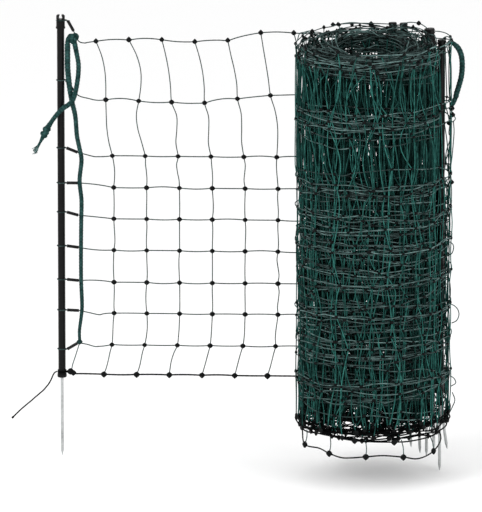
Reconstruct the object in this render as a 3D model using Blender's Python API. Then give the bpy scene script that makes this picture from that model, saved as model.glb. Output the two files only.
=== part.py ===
"""A part-rolled poultry net in metres, +Z up.

The origin is on the end post's axis, at the bottom face of its foot, where the ground would be. +X runs
along the open panel towards the roll, and -Y is the side that the roll lies on.
"""

import math

import bmesh
import bpy
from mathutils import Matrix, Vector

GAP = 0.0003

# Posts: a plastic tube with a foot, a steel spike below it and a slotted cap on top
TUBE_R = 0.0113
TUBE_BORE_R = 0.0088
FLANGE_R = 0.0146
WAIST_R = 0.0095
FLANGE_TOP = 0.0125
WAIST_TOP = 0.0225
WAIST_Z = 0.0178
SHOULDER_TOP = 0.036
SPIGOT_TOP = 0.070
POST_SIDES = 16
ROLLED_POST_SIDES = 12
CAP_BASE = 1.0870
CAP_HEIGHT = 0.0423
CAP_R = 0.0133
NECK_R = 0.0108
NECK_LOW = 0.0230
NECK_HIGH = 0.0270
CAP_SOCKET_DEPTH = 0.012
SLOT_HOLE_Z = 0.0345
SLOT_HOLE_R = 0.0055
SLOT_WIDTH = 0.0062
SPIKE_R = 0.0045
SPIKE_SIDES = 20
SPIKE_BORE_DEPTH = 0.030
SPIKE_POINT = 0.018
END_SPIKE_LENGTH = 0.246

# The net: ten cords from top to bottom, and the heights of the rings that tie nine of them to the post
ROW_Z = (1.052, 0.868, 0.693, 0.5945, 0.497, 0.399, 0.299, 0.202, 0.103, 0.010)
RING_Z = (1.112, 0.9272, 0.7172, 0.6085, 0.5175, 0.4122, 0.3073, 0.2116, 0.0892, WAIST_Z)
SLEEVE_DROP = (0.0315, 0.030, 0.0134, 0.0, 0.0093, 0.0046, 0.0031, 0.0015, -0.0186, 0.0057)
KNOT_SHIFT = (-0.053, -0.0235, -0.004, 0.0, 0.0, 0.0, 0.0, 0.0, -0.007, -0.032)
TOP_SAG = ((0.0, 0.0), (0.30, 0.003), (0.47, -0.008), (0.62, 0.028), (0.95, 0.026))
SECOND_SAG = ((0.0, 0.0), (0.22, -0.003), (0.43, -0.0105), (0.68, 0.020), (0.95, 0.020))
COLUMNS = 8
FIRST_COLUMN = 0.161
COLUMN_PITCH = 0.1007
CORD_R = 0.0014
BOTTOM_CORD_R = 0.0021
UPRIGHT_R = 0.0011
UPRIGHT_BEHIND = 0.0042
KNOT_HALF = 0.0062
KNOT_FRONT = 0.0046
SLEEVE_R = 0.0048
SLEEVE_LENGTH = 0.036
SLEEVE_START = 0.0170
SLEEVE_SIDES = 8
SLEEVE_SLACK = 1.12
CORD_SIDES = 5

# The roll, in plan: a circle that the panel meets on its far side, with a bulge where the posts stand
ROLL_CENTRE = Vector((0.941, -0.275))
ROLL_R = 0.229
ROLL_PITCH = 0.0235
ROLL_TURNS = 4.6
ROLL_SHEET = 0.0036
ROLL_BOTTOM = -0.100
ROLL_TOP = 1.100
BULGE_ANGLE = math.radians(30.0)
BULGE_OF_TURN = (0.033, -0.0225, -0.018, -0.011, -0.005)
HINGE_GAP = 0.004

# Rolled posts: the cap's top in plan, the foot, and how far the spike shows below it and is bent sideways
ROLLED_POSTS = (
    ((1.1570, -0.2185), (1.1570, -0.2185, -0.0410), 0.205, 0.0),
    ((1.1187, -0.1300), (1.1190, -0.1300, -0.0218), 0.200, 0.0),
    ((1.0446, -0.0850), (1.0913, -0.1120, -0.0102), 0.205, 0.0),
    ((1.0121, -0.0698), (1.0640, -0.0955, -0.0110), 0.189, 0.0),
    ((1.1248, -0.1610), (1.1388, -0.1590, -0.0150), 0.183, 0.0),
    ((1.1245, -0.1950), (1.1630, -0.1890, -0.0103), 0.176, 0.012),
)

# Rope along the net's end, its free tail, and the cords' other loose ends
EDGE_ROPE = (
    (0.0564, -0.0135, 0.1180), (0.0580, -0.0135, 0.1650), (0.0625, -0.0135, 0.2300),
    (0.0600, -0.0135, 0.3080), (0.0600, -0.0135, 0.4070), (0.0610, -0.0135, 0.4900),
    (0.0620, -0.0135, 0.5560), (0.0565, -0.0135, 0.6170), (0.0625, -0.0135, 0.6800),
    (0.0564, -0.0135, 0.7180), (0.0488, -0.0140, 0.7580), (0.0442, -0.0150, 0.8170),
    (0.0350, -0.0165, 0.8600), (0.0275, -0.0170, 0.9050), (0.0218, -0.0150, 0.9600),
    (0.0212, -0.0135, 1.0000), (0.0214, -0.0135, 1.0400),
)
EDGE_ROPE_R = ((0.118, 0.0048), (0.25, 0.0060), (0.80, 0.0066), (0.93, 0.0082), (1.04, 0.0082))
ROPE_KNOT = Vector((0.0390, -0.0160, 1.0594))
ROPE_KNOT_HALF = (0.0170, 0.0138, 0.0180)
ROPE_TAIL = (
    (0.0440, -0.0165, 1.0385), (0.0494, -0.0170, 1.0107), (0.0545, -0.0180, 0.9800),
    (0.0540, -0.0215, 0.9500), (0.0503, -0.0270, 0.9212), (0.0445, -0.0325, 0.8920),
    (0.0366, -0.0340, 0.8700), (0.0240, -0.0325, 0.8560), (0.0070, -0.0285, 0.8440),
    (-0.0070, -0.0260, 0.8300), (-0.0205, -0.0240, 0.8130), (-0.0320, -0.0230, 0.7960),
    (-0.0421, -0.0225, 0.7800), (-0.0506, -0.0220, 0.7640), (-0.0580, -0.0220, 0.7480),
    (-0.0668, -0.0220, 0.7310), (-0.0769, -0.0220, 0.7110),
)
ROPE_TAIL_DIAMETER = 0.0155
BOTTOM_TAIL = (
    (-0.0150, 0.0000, 0.0178), (-0.0198, 0.0000, 0.0160), (-0.0250, -0.0010, 0.0112),
    (-0.0284, -0.0020, 0.0050), (-0.0312, -0.0030, -0.0016), (-0.0354, -0.0040, -0.0106),
    (-0.0412, -0.0050, -0.0205), (-0.0485, -0.0060, -0.0295), (-0.0567, -0.0070, -0.0391),
    (-0.0680, -0.0080, -0.0490), (-0.0805, -0.0090, -0.0595), (-0.0936, -0.0100, -0.0711),
    (-0.1086, -0.0110, -0.0835), (-0.1238, -0.0120, -0.0965), (-0.1391, -0.0130, -0.1109),
    (-0.1543, -0.0140, -0.1261),
)
BOTTOM_TAIL_DIAMETER = 0.0042
END_LOOP = (
    (1.2015, -0.2185, 1.0690), (1.2060, -0.2190, 1.0640), (1.2110, -0.2190, 1.0560),
    (1.2155, -0.2195, 1.0450), (1.2185, -0.2200, 1.0310), (1.2197, -0.2200, 1.0150),
    (1.2195, -0.2200, 0.9980), (1.2180, -0.2200, 0.9810), (1.2150, -0.2195, 0.9650),
    (1.2110, -0.2190, 0.9500), (1.2070, -0.2190, 0.9360), (1.2035, -0.2185, 0.9240),
    (1.2010, -0.2185, 0.9120),
)
END_LOOP_DIAMETER = 0.0160


def clear_scene():
    for thing in list(bpy.data.objects):
        bpy.data.objects.remove(thing)


def principled(name, colour, roughness, metallic=0.0):
    material = bpy.data.materials.new(name)
    material.use_nodes = True
    shader = material.node_tree.nodes["Principled BSDF"]
    shader.inputs["Base Color"].default_value = (*colour, 1.0)
    shader.inputs["Roughness"].default_value = roughness
    shader.inputs["Metallic"].default_value = metallic
    material.diffuse_color = (*colour, 1.0)
    return material


def add_object(name, data, material, location=(0, 0, 0), sharp_angle=math.radians(40)):
    data.materials.append(material)
    if isinstance(data, bpy.types.Mesh):
        data.shade_smooth()
        data.set_sharp_from_angle(angle=sharp_angle)
    thing = bpy.data.objects.new(name, data)
    thing.location = location
    bpy.context.collection.objects.link(thing)
    return thing


def mesh_of(points, faces):
    mesh = bpy.data.meshes.new("shape")
    mesh.from_pydata(points, [], faces)
    work = bmesh.new()
    work.from_mesh(mesh)
    bmesh.ops.recalc_face_normals(work, faces=work.faces)
    work.to_mesh(mesh)
    work.free()
    return mesh


def turned_mesh(profile, sides=POST_SIDES):
    """A solid turned about Z from (radius, height) points; a closed loop of them makes a hollow piece."""
    points = []
    rings = []
    for radius, height in profile:
        first = len(points)
        if radius == 0:
            points.append((0, 0, height))
            rings.append([first] * sides)
            continue
        for i in range(sides):
            angle = math.tau * i / sides
            points.append((radius * math.cos(angle), radius * math.sin(angle), height))
        rings.append(list(range(first, first + sides)))
    pairs = list(zip(rings, rings[1:]))
    if profile[0][0] and profile[-1][0]:
        pairs.append((rings[-1], rings[0]))
    faces = []
    for low, high in pairs:
        for i in range(sides):
            j = (i + 1) % sides
            corners = [low[i], low[j], high[j], high[i]]
            face = list(dict.fromkeys(corners))
            if len(face) > 2:
                faces.append(face)
    return mesh_of(points, faces)


def swept_mesh(stations, up, sides=CORD_SIDES):
    """A closed tube through stations of (centre, height, depth, forward), its sections upright by up."""
    centres = [station[0] for station in stations]
    points = []
    for i, (centre, height, depth, forward) in enumerate(stations):
        ahead = centres[min(i + 1, len(centres) - 1)] - centres[max(i - 1, 0)]
        side = ahead.cross(up).normalized()
        rise = side.cross(ahead).normalized()
        for k in range(sides):
            angle = math.tau * k / sides
            sideways = side * (math.cos(angle) * depth + forward)
            points.append(centre + sideways + rise * math.sin(angle) * height)
    faces = [list(range(sides))[::-1], list(range(len(points) - sides, len(points)))]
    for i in range(len(stations) - 1):
        for k in range(sides):
            a = i * sides + k
            b = i * sides + (k + 1) % sides
            faces.append([a, b, b + sides, a + sides])
    return mesh_of(points, faces)


def smooth_line(route, step):
    """Points about step apart on a Catmull-Rom curve through a route."""
    route = [Vector(point) for point in route]
    ends = [2 * route[0] - route[1], *route, 2 * route[-1] - route[-2]]
    fine = []
    for a, b, c, d in zip(ends, ends[1:], ends[2:], ends[3:]):
        for i in range(20):
            t = i / 20
            bend = (2 * a - 5 * b + 4 * c - d) * t**2 + (3 * b - a - 3 * c + d) * t**3
            fine.append(b + ((c - a) * t + bend) / 2)
    fine.append(route[-1])
    along = [0.0]
    for p, q in zip(fine, fine[1:]):
        along.append(along[-1] + (q - p).length)
    count = max(2, round(along[-1] / step))
    line = []
    at = 0
    for i in range(count + 1):
        target = along[-1] * i / count
        while at < len(fine) - 2 and along[at + 1] < target:
            at += 1
        share = (target - along[at]) / (along[at + 1] - along[at])
        line.append(fine[at].lerp(fine[at + 1], min(share, 1.0)))
    return line


def cord(name, route, diameter, step, material, radius_at=None, resolution=2):
    """A round cord along a route; radius_at gives its radius at a height where it isn't even."""
    line = smooth_line(route, step)
    data = bpy.data.curves.new(name, "CURVE")
    data.dimensions = "3D"
    data.bevel_depth = diameter / 2
    data.bevel_resolution = resolution
    data.use_fill_caps = True
    spline = data.splines.new("POLY")
    spline.points.add(len(line) - 1)
    for point, place in zip(spline.points, line):
        point.co = (*place, 1)
        if radius_at:
            point.radius = radius_at(place.z) / (diameter / 2)
    return add_object(name, data, material)


def between(table, x):
    """The value at x on straight lines between a table's (x, value) points."""
    if x <= table[0][0]:
        return table[0][1]
    for (x0, y0), (x1, y1) in zip(table, table[1:]):
        if x <= x1:
            return y0 + (y1 - y0) * (x - x0) / (x1 - x0)
    return table[-1][1]


def tangent_panel():
    """The panel's direction in plan and its length, from the post's axis to where it meets the roll."""
    reach = ROLL_CENTRE.length
    angle = math.atan2(ROLL_CENTRE.y, ROLL_CENTRE.x) + math.asin(ROLL_R / reach)
    return angle, math.sqrt(reach**2 - ROLL_R**2)


PANEL_ANGLE, PANEL_LENGTH = tangent_panel()
PANEL_FRAME = Matrix.Rotation(PANEL_ANGLE, 4, "Z")
HINGE = PANEL_FRAME @ Vector((PANEL_LENGTH, 0, 0))


def cap_profile():
    socket_r = TUBE_R + GAP
    return (
        (0, CAP_SOCKET_DEPTH), (socket_r, CAP_SOCKET_DEPTH), (socket_r, 0), (FLANGE_R, 0),
        (FLANGE_R, 0.0050), (CAP_R, 0.0065), (CAP_R, NECK_LOW - 0.001), (NECK_R, NECK_LOW),
        (NECK_R, NECK_HIGH), (CAP_R, NECK_HIGH + 0.001), (CAP_R, CAP_HEIGHT - 0.003),
        (CAP_R - 0.0025, CAP_HEIGHT), (0, CAP_HEIGHT),
    )


def add_cap(name, frame, turn, material, sides=POST_SIDES):
    """The cap, with a keyhole slot across its head that leaves two horns."""
    cutter_mesh = bpy.data.meshes.new("slot")
    work = bmesh.new()
    across = Matrix.Rotation(turn, 4, "Z")
    hole = across @ Matrix.Translation((0, 0, SLOT_HOLE_Z)) @ Matrix.Rotation(math.pi / 2, 4, "X")
    bmesh.ops.create_cone(
        work, cap_ends=True, segments=12, radius1=SLOT_HOLE_R, radius2=SLOT_HOLE_R, depth=0.04, matrix=hole
    )
    work.to_mesh(cutter_mesh)
    work.free()
    round_cutter = bpy.data.objects.new(name + "_hole_cutter", cutter_mesh)
    box_mesh = bpy.data.meshes.new("slot_mouth")
    work = bmesh.new()
    mouth_centre = Matrix.Translation((0, 0, SLOT_HOLE_Z + 0.01))
    mouth = across @ mouth_centre @ Matrix.Diagonal((SLOT_WIDTH, 0.04, 0.02, 1))
    bmesh.ops.create_cube(work, size=1, matrix=mouth)
    work.to_mesh(box_mesh)
    work.free()
    box_cutter = bpy.data.objects.new(name + "_mouth_cutter", box_mesh)
    cap = add_object(name, turned_mesh(cap_profile(), sides), material)
    cap.matrix_world = frame @ Matrix.Translation((0, 0, CAP_BASE))
    for cutter in (round_cutter, box_cutter):
        bpy.context.collection.objects.link(cutter)
        cutter.matrix_world = cap.matrix_world
        cutter.hide_render = True
        cutter.display_type = "WIRE"
        cut = cap.modifiers.new(cutter.name, "BOOLEAN")
        cut.operation = "DIFFERENCE"
        cut.object = cutter
    return cap


def add_spike(name, frame, length, material, bend=0.0):
    """A pointed steel rod in the foot's bore; bend carries its tip sideways on a parabola."""
    shank = [-(length - SPIKE_POINT) * share for share in (0.8, 0.6, 0.4, 0.2, 0.0)] if bend else []
    profile = [
        (0, -length), (0.0012, -length + 0.002), (SPIKE_R, -length + SPIKE_POINT),
        *((SPIKE_R, height) for height in shank),
        (SPIKE_R, SPIKE_BORE_DEPTH - GAP), (0, SPIKE_BORE_DEPTH - GAP),
    ]
    mesh = turned_mesh(profile, SPIKE_SIDES)
    for vertex in mesh.vertices:
        vertex.co.x += bend * (min(vertex.co.z, 0.0) / length) ** 2
    spike = add_object(name, mesh, material)
    spike.matrix_world = frame
    return spike


def foot_outline():
    """The outside of a post's foot from its bottom up, with the waist that holds the bottom cord."""
    return [
        (FLANGE_R - 0.002, 0), (FLANGE_R, 0.002), (FLANGE_R, FLANGE_TOP - 0.002), (WAIST_R, FLANGE_TOP),
        (WAIST_R, WAIST_TOP - 0.002), (TUBE_R, WAIST_TOP), (TUBE_R, SHOULDER_TOP),
    ]


def add_end_post(plastic, steel):
    """The post that the open panel is tied to, in its four pieces."""
    bore = SPIKE_R + GAP
    spigot = TUBE_BORE_R - GAP
    foot_profile = [
        (0, SPIKE_BORE_DEPTH), (bore, SPIKE_BORE_DEPTH), (bore, 0), *foot_outline(),
        (spigot, SHOULDER_TOP), (spigot, SPIGOT_TOP), (0, SPIGOT_TOP),
    ]
    add_object("end_post_foot", turned_mesh(foot_profile), plastic)
    low = SHOULDER_TOP + GAP
    top = CAP_BASE + CAP_SOCKET_DEPTH - GAP
    tube_profile = ((TUBE_BORE_R, low), (TUBE_R, low), (TUBE_R, top), (TUBE_BORE_R, top))
    add_object("end_post_tube", turned_mesh(tube_profile), plastic)
    add_cap("end_post_cap", Matrix.Identity(4), 0.0, plastic)
    add_spike("end_post_spike", Matrix.Identity(4), END_SPIKE_LENGTH, steel)


def add_rolled_post(number, top_plan, foot, spike_length, bend, plastic, steel):
    """A post inside the roll, its foot made in one with its tube."""
    length = CAP_BASE + CAP_HEIGHT
    foot = Vector(foot)
    flat = Vector((top_plan[0] - foot.x, top_plan[1] - foot.y))
    lean = Vector((flat.x, flat.y, math.sqrt(length**2 - flat.length_squared))).normalized()
    frame = Matrix.Translation(foot) @ Vector((0, 0, 1)).rotation_difference(lean).to_matrix().to_4x4()
    top = CAP_BASE + CAP_SOCKET_DEPTH - GAP
    bore = SPIKE_R + GAP
    profile = [
        (0, SPIKE_BORE_DEPTH), (bore, SPIKE_BORE_DEPTH), (bore, 0), *foot_outline(),
        (TUBE_R, top), (TUBE_BORE_R, top), (TUBE_BORE_R, SPIGOT_TOP), (0, SPIGOT_TOP),
    ]
    tube = add_object(f"rolled_post_{number}_tube", turned_mesh(profile, ROLLED_POST_SIDES), plastic)
    tube.matrix_world = frame
    add_cap(f"rolled_post_{number}_cap", frame, math.pi / 2, plastic, ROLLED_POST_SIDES)
    add_spike(f"rolled_post_{number}_spike", frame, spike_length, steel, bend)


def row_height(row, along):
    sag = {0: TOP_SAG, 1: SECOND_SAG}.get(row)
    return ROW_Z[row] + (between(sag, along) if sag else 0.0)


def column_place(row, column):
    """Where an upright crosses a row's cord, in the panel's own plane."""
    along = FIRST_COLUMN + column * COLUMN_PITCH + KNOT_SHIFT[row]
    return Vector((along, 0, row_height(row, along)))


def sleeve_ends(row):
    """The two ends of the sleeve that closes a row's ring round the post."""
    length = SLEEVE_LENGTH if row < 9 else 0.020
    start = SLEEVE_START if row else 0.0222
    drop = SLEEVE_DROP[row]
    run = math.sqrt(length**2 - drop**2)
    low = RING_Z[row] - (0.001 if row else 0.0015)
    return Vector((start, 0, low)), Vector((start + run, 0, low - drop))


def row_stations(row):
    """A row's cord: an end in the sleeve, a ring round the post, then back and off along the net."""
    radius = CORD_R if row < 9 else BOTTOM_CORD_R
    inner = {0: NECK_R, 9: WAIST_R}.get(row, TUBE_R)
    ring = inner + GAP + radius
    apart = Vector((0, radius + GAP, 0))
    near, far = sleeve_ends(row)
    axis = (far - near).normalized()

    def plain(point):
        return point, radius, radius, 0.0

    stations = [plain(near.lerp(far, 0.45) - apart)]
    stations += [plain(near + axis * ahead - apart) for ahead in (0.001, -0.0015)]
    steps = 11
    for i in range(steps + 1):
        angle = math.radians(-52 - (360 - 104) * i / steps)
        place = Vector((ring * math.cos(angle), ring * math.sin(angle), RING_Z[row]))
        stations.append(plain(place))
    stations += [plain(near + axis * ahead + apart) for ahead in (-0.0015, 0.001)]
    stations += [plain(near.lerp(far, 0.55) + apart), plain(far - axis * 0.001), plain(far + axis * 0.002)]
    knot = KNOT_HALF if row < 9 else KNOT_HALF * 1.15
    front = (KNOT_FRONT - radius) / 2
    depth = (KNOT_FRONT + radius) / 2
    for column in range(COLUMNS):
        place = column_place(row, column)
        stations.append(plain(place - Vector((knot, 0, 0))))
        stations.append((place, knot, depth, front))
        stations.append(plain(place + Vector((knot, 0, 0))))
    end = PANEL_LENGTH - HINGE_GAP
    stations.append(plain(Vector((end, 0, row_height(row, end)))))
    return stations


def add_rows(cord_material, bottom_material):
    for row in range(len(ROW_Z)):
        mesh = swept_mesh(row_stations(row), Vector((0, 0, 1)))
        mesh.transform(PANEL_FRAME)
        add_object(f"row_cord_{row + 1:02d}", mesh, bottom_material if row == 9 else cord_material)


def add_sleeves(plastic):
    """The moulded sleeves: tubes that hold both runs of a row's cord beside the post."""
    for row in range(len(ROW_Z)):
        radius = CORD_R if row < 9 else BOTTOM_CORD_R
        near, far = sleeve_ends(row)
        hole_depth = SLEEVE_SLACK * 2 * (radius + GAP)
        hole_height = SLEEVE_SLACK * (radius + 2 * GAP)
        outer_depth = hole_depth + 0.001
        axis = (far - near).normalized()
        side = axis.cross(Vector((0, 0, 1))).normalized()
        rise = side.cross(axis).normalized()
        widths = ((0.0, 1.0), (0.06, 1.12), (0.12, 1.0), (1.0, 1.0)) if row < 9 else (
            (0.0, 0.75), (0.35, 2.1), (0.55, 2.6), (0.75, 1.5), (1.0, 0.8))
        shares = [share for share, _ in widths]
        points = []
        for share, width in widths:
            for k in range(SLEEVE_SIDES):
                angle = math.tau * k / SLEEVE_SIDES
                out = side * math.cos(angle) * outer_depth + rise * math.sin(angle) * SLEEVE_R * width
                points.append(near.lerp(far, share) + out)
        for share in (shares[-1], shares[0]):
            for k in range(SLEEVE_SIDES):
                angle = math.tau * k / SLEEVE_SIDES
                out = side * math.cos(angle) * hole_depth + rise * math.sin(angle) * hole_height
                points.append(near.lerp(far, share) + out)
        rings = len(widths) + 2
        faces = []
        for i in range(rings):
            for k in range(SLEEVE_SIDES):
                after = (k + 1) % SLEEVE_SIDES
                a = i * SLEEVE_SIDES
                b = (i + 1) % rings * SLEEVE_SIDES
                faces.append([a + k, a + after, b + after, b + k])
        mesh = mesh_of(points, faces)
        mesh.transform(PANEL_FRAME)
        name = f"cord_sleeve_{row + 1:02d}" if row < 9 else "foot_clamp"
        add_object(name, mesh, plastic)


def add_uprights(material):
    """The uprights of the open panel, which pass just behind the knots."""
    behind = Vector((0, UPRIGHT_BEHIND, 0))
    for column in range(COLUMNS):
        stations = []
        places = [column_place(row, column) for row in reversed(range(len(ROW_Z)))]
        for i, place in enumerate(places):
            stations.append((place + behind, UPRIGHT_R, UPRIGHT_R, 0.0))
            if i >= len(places) - 3 and i + 1 < len(places):
                loose = Vector((0.004 * (-1) ** column, 0, 0))
                stations.append(((place + places[i + 1]) / 2 + behind + loose, UPRIGHT_R, UPRIGHT_R, 0.0))
        mesh = swept_mesh(stations, Vector((0, 1, 0)))
        mesh.transform(PANEL_FRAME)
        add_object(f"upright_{column + 1}", mesh, material)
    low = Vector((0.0315, 0.0, 0.0320))
    high = Vector((0.0545, -0.0060, 0.1060))
    stations = [(low.lerp(high, share), UPRIGHT_R, UPRIGHT_R, 0.0) for share in (0, 0.5, 1)]
    mesh = swept_mesh(stations, Vector((0, 1, 0)))
    add_object("edge_upright", mesh, material)


def roll_radius(travel, angle):
    """The roll's radius after winding on by travel, at a plan angle."""
    turn = min(int(travel / math.tau), len(BULGE_OF_TURN) - 1)
    start = math.atan2(HINGE.y - ROLL_CENTRE.y, HINGE.x - ROLL_CENTRE.x)
    off = (angle - BULGE_ANGLE + math.pi) % math.tau - math.pi
    share = off / (start - BULGE_ANGLE)
    bulge = math.cos(share * math.pi / 2) ** 2 if abs(share) < 1 else 0.0
    return ROLL_R - ROLL_PITCH * travel / math.tau + BULGE_OF_TURN[turn] * bulge


def add_roll(material):
    """The rolled net as one spiral sheet, wound clockwise from the hinge line where the panel leaves it."""
    start = math.atan2(HINGE.y - ROLL_CENTRE.y, HINGE.x - ROLL_CENTRE.x)
    first = HINGE_GAP / ROLL_R
    steps = 150
    points = []
    for i in range(steps + 1):
        travel = first + (ROLL_TURNS * math.tau - first) * i / steps
        angle = start - travel
        centre = roll_radius(travel, angle)
        for radius in (centre - ROLL_SHEET / 2, centre + ROLL_SHEET / 2):
            for height in (ROLL_BOTTOM, ROLL_TOP):
                x = ROLL_CENTRE.x + radius * math.cos(angle) - HINGE.x
                y = ROLL_CENTRE.y + radius * math.sin(angle) - HINGE.y
                points.append((x, y, height))
    faces = [[0, 1, 3, 2], [4 * steps + k for k in (0, 2, 3, 1)]]
    for i in range(steps):
        a = 4 * i
        for p, q in ((0, 1), (1, 3), (3, 2), (2, 0)):
            faces.append([a + p, a + q, a + 4 + q, a + 4 + p])
    add_object("net_roll", mesh_of(points, faces), material, location=HINGE)


def add_ropes(rope, cord_material):
    cord(
        "edge_rope", EDGE_ROPE, 0.0164, 0.026, rope,
        radius_at=lambda z: between(EDGE_ROPE_R, z),
    )
    knot = bpy.data.meshes.new("knot")
    work = bmesh.new()
    scale = Matrix.Diagonal((*ROPE_KNOT_HALF, 1))
    bmesh.ops.create_uvsphere(work, u_segments=14, v_segments=9, radius=1, matrix=scale)
    work.to_mesh(knot)
    work.free()
    add_object("rope_knot", knot, rope, location=ROPE_KNOT)
    cord("rope_tail", ROPE_TAIL, ROPE_TAIL_DIAMETER, 0.024, rope)
    cord("bottom_cord_tail", BOTTOM_TAIL, BOTTOM_TAIL_DIAMETER, 0.009, cord_material)
    cord("end_rope_loop", END_LOOP, END_LOOP_DIAMETER, 0.018, rope)


def build():
    clear_scene()
    plastic = principled("black_plastic", (0.013, 0.013, 0.015), 0.42)
    steel = principled("galvanised_steel", (0.55, 0.57, 0.57), 0.35, 1.0)
    cord_material = principled("grey_green_cord", (0.10, 0.14, 0.13), 0.6)
    bottom_material = principled("black_cord", (0.012, 0.012, 0.013), 0.5)
    rope = principled("green_rope", (0.028, 0.085, 0.070), 0.8)
    netting = principled("rolled_netting", (0.02, 0.06, 0.05), 0.75)
    add_end_post(plastic, steel)
    add_rows(cord_material, bottom_material)
    add_sleeves(plastic)
    add_uprights(cord_material)
    add_ropes(rope, bottom_material)
    add_roll(netting)
    for number, post in enumerate(ROLLED_POSTS, start=1):
        add_rolled_post(number, *post, plastic, steel)


build()
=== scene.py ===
"""Looks of the part-rolled poultry net: the stage, the cords and ropes, then all the netting."""

import math

import bpy
import numpy as np
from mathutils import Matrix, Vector


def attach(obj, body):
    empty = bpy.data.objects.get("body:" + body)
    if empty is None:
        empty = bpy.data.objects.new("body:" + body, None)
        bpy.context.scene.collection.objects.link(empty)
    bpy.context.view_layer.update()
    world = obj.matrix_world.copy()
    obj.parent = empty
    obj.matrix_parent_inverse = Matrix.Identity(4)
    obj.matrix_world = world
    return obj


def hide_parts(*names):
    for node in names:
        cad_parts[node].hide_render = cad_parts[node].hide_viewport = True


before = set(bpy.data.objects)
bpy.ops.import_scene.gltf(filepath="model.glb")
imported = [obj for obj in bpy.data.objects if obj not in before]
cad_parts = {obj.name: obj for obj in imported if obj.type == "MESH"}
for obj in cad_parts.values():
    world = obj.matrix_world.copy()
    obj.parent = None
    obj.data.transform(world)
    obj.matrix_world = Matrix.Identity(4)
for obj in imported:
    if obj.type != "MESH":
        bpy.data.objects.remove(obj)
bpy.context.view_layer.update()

TAU = math.tau
UP = (0.0, 0.0, 1.0)
rng = np.random.default_rng(11)

# Sizes and places are in metres, in the frame's own axes.
# Every row from the top down: its height, its ring's height on the post, how far its sleeve drops on
# its way from the post, and how far its knots are shifted along the net
ROW_Z = (1.052, 0.868, 0.693, 0.5945, 0.497, 0.399, 0.299, 0.202, 0.103, 0.010)
RING_Z = (1.112, 0.9272, 0.7172, 0.6085, 0.5175, 0.4122, 0.3073, 0.2116, 0.0892, 0.0178)
SLEEVE_DROP = (0.0315, 0.030, 0.0134, 0.0, 0.0093, 0.0046, 0.0031, 0.0015, -0.0186, 0.0057)
KNOT_SHIFT = (-0.053, -0.0235, -0.004, 0.0, 0.0, 0.0, 0.0, 0.0, -0.007, -0.032)
# How high the two top rows sit above their own height, at these places along the panel
TOP_SAG = (
    (0.0, 0.08, 0.18, 0.29, 0.48, 0.535, 0.59, 0.95),
    (0, -0.006, 0, 0.003, -0.007, 0.008, 0.026, 0.026),
)
SECOND_SAG = (
    (0.0, 0.20, 0.43, 0.48, 0.58, 0.68, 0.95),
    (0.003, -0.003, -0.0095, -0.0035, 0.011, 0.020, 0.020),
)
# Points of a row between its sleeve and its first knot, where it comes out from behind the rope
ROW_STARTS = {
    0: ((0.0546, -0.0020, 1.0480), (0.0720, -0.0030, 1.0420)),
    1: ((0.0560, -0.0020, 0.8780), (0.0857, -0.0030, 0.8700)),
    2: ((0.0705, -0.0020, 0.6975), (0.0997, -0.0030, 0.6900)),
    7: ((0.0808, -0.0035, 0.2035), (0.1138, -0.0050, 0.1965)),
    8: ((0.0741, -0.0030, 0.1040), (0.1006, -0.0045, 0.0968)),
}
# How far each upright bows along the net, in its first cell and its second
TOP_BOW = (0.012, 0.021, 0.006, 0.009, 0.005, 0.001, 0.008, 0.006)
SECOND_BOW = (-0.007, -0.013, 0.006, 0.003, 0.003, 0.012, 0.006, -0.006)
SECOND_WAVE = (0.001, -0.003, 0.006, 0.005, 0.004, 0.001, 0.003, 0.004)

COLUMNS = 8
FIRST_COLUMN = 0.161
COLUMN_PITCH = 0.1007
TUBE_R = 0.0113
NECK_R = 0.0108
WAIST_R = 0.0095
GAP = 0.0003
# The twine and the bottom cord are a little thicker than their CAD nodes
CORD_R = 0.00165
BOTTOM_CORD_R = 0.0024
UPRIGHT_R = 0.0016
ROLL_CENTRE = np.array((0.941, -0.275))
ROLL_R = 0.229
BULGE_ANGLE = math.radians(30.0)
FLOOR_Z = -0.2465
ROWS = len(ROW_Z)
BOTTOM_ROW = ROWS - 1
BACK = (0.0, 1.0, 0.0)

# The view and the stage
VIEW_ELEVATION = math.radians(11.0)
VIEW_X = 0.5505
VIEW_Y = -0.14
VIEW_HEIGHT = 0.3792
VIEW_WIDTH = 1.5616
VIEW_DISTANCE = 24.0
SENSOR_WIDTH = 36.0
LAMP_SIZE = 2.4
FLOOR_HALF = 200.0

# How a cord is laid: the lumps of its strands round it, the length they repeat in and their depth
BRAID = (4, 0.020, 0.10)
TIGHT_BRAID = (4, 0.016, 0.10)
SHALLOW_BRAID = (4, 0.020, 0.08)
TWINE_TWIST = (2, 0.011, 0.10)
TAIL_TWIST = (3, 0.012, 0.06)
LOOP_TWIST = (2, 0.012, 0.06)
ROPE_STEP = 0.002

# The ropes and the loose cords
EDGE_ROPE = (
    (0.0550, -0.0125, 0.1130), (0.0542, -0.0135, 0.1480), (0.0600, -0.0135, 0.1930),
    (0.0625, -0.0135, 0.2300), (0.0600, -0.0135, 0.3080), (0.0600, -0.0135, 0.4070),
    (0.0610, -0.0135, 0.4900), (0.0620, -0.0135, 0.5560), (0.0565, -0.0135, 0.6170),
    (0.0625, -0.0135, 0.6800), (0.0564, -0.0135, 0.7180), (0.0488, -0.0140, 0.7580),
    (0.0442, -0.0150, 0.8170), (0.0350, -0.0165, 0.8600), (0.0275, -0.0170, 0.9050),
    (0.0218, -0.0150, 0.9600), (0.0212, -0.0135, 1.0000), (0.0214, -0.0135, 1.0400),
)
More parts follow.
